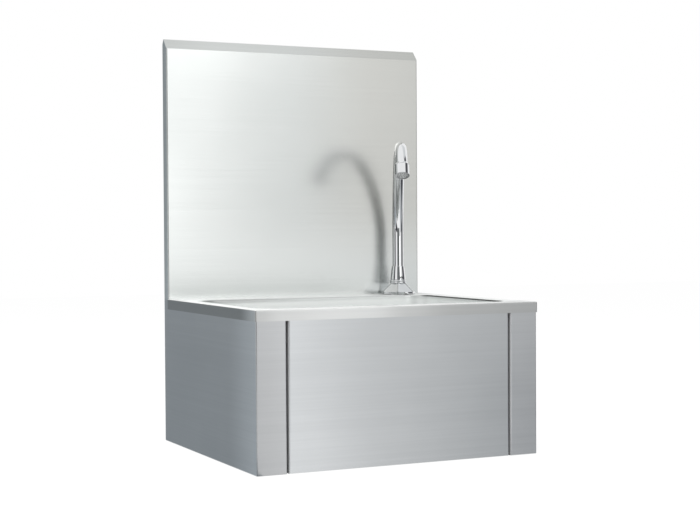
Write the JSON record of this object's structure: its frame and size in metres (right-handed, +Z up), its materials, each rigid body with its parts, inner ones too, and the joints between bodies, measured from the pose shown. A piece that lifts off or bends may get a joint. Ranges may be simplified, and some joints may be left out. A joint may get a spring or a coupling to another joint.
{
  "type": "hand wash sink",
  "caption": "Wall-hung stainless steel hand wash sink with a tall splashback, swan-neck swivel spout and a knee panel that presses a valve.",
  "frame": {"origin": "centre of the four wall screw holes, on the wall plane", "axes": "+Z up, +Y into the wall, +X to the right as seen from the front"},
  "size_m": [0.4, 0.34, 0.5645],
  "materials": {
    "deck_steel": "brushed stainless steel",
    "bowl_steel": "satin stainless steel",
    "splash_steel": "satin stainless steel with a soft reflection",
    "cabinet_steel": "brushed stainless steel",
    "panel_steel": "brushed stainless steel",
    "inner_steel": "mill finish",
    "bright_steel": "bright turned steel",
    "chrome": "polished chrome plate",
    "satin_nickel": "nickel plate",
    "brass": "turned brass",
    "waste_steel": "polished stainless steel",
    "waste_plastic": "white moulded plastic",
    "rubber": "black rubber",
    "nylon": "natural nylon",
    "screen_plastic": "moulded plastic screen",
    "hose_braid": "stainless wire braid"
  },
  "bodies": {
    "root": {"deck": "deck_steel", "bowl": "bowl_steel", "backsplash": "splash_steel", "side_panel_left": "cabinet_steel", "side_panel_right": "cabinet_steel", "wall_rail_upper": "inner_steel", "wall_rail_lower": "inner_steel", "hinge_rail": "inner_steel", "hinge_rod": "bright_steel", "rod_clips": "bright_steel", "valve_bracket": "inner_steel", "valve_body": "brass", "valve_gland": "chrome", "valve_lock_nut": "satin_nickel", "inlet_manifold": "brass", "coupling_nut": "satin_nickel", "inlet_nipple_hot": "brass", "inlet_nipple_cold": "brass", "faucet_hose": "hose_braid", "hose_fittings": "satin_nickel", "hose_nut_valve": "satin_nickel", "hose_nut_faucet": "satin_nickel", "base_seal": "rubber", "faucet_base": "chrome", "faucet_shank": "brass", "fixing_seal": "rubber", "fixing_washer": "bright_steel", "fixing_nut": "brass", "spigot_ring": "rubber", "waste_grid": "waste_steel", "waste_screw": "bright_steel", "waste_upper_seal": "rubber", "waste_lower_seal": "rubber", "waste_body": "waste_plastic"},
    "knee": {"knee_panel": "panel_steel", "panel_lugs": "inner_steel", "hinge_bushes": "nylon", "stop_tabs": "inner_steel", "push_stud": "bright_steel", "push_bumper": "rubber"},
    "plunger": {"push_button": "chrome", "plunger_seal": "rubber", "plunger_spring": "bright_steel"},
    "spout": {"spout_cone": "chrome", "spout_pipe": "chrome", "grub_screw": "bright_steel", "aerator_housing": "chrome", "aerator_seal": "rubber", "aerator_insert": "screen_plastic"}
  },
  "joints": [
    {"name": "knee_push", "type": "hinge", "parent": "root", "child": "knee", "pos_m": [0, -0.33, 0.099], "axis": [1, 0, 0], "range_deg": [0, 3.1]},
    {"name": "valve_push", "type": "slide", "parent": "root", "child": "plunger", "axis": [0, 1, 0], "range_m": [0, 0.008], "stiffness_N_per_m": 1500, "springref_m": -0.008, "deforming": ["plunger_spring"]},
    {"name": "spout_swivel", "type": "hinge", "parent": "root", "child": "spout", "pos_m": [0.15, -0.045, 0.1283], "axis": [0, 0, 1], "range_deg": [-65, 115]}
  ],
  "couplings": [
    {"joint": "valve_push", "follows": "knee_push", "m_per_rad": 0.148}
  ]
}
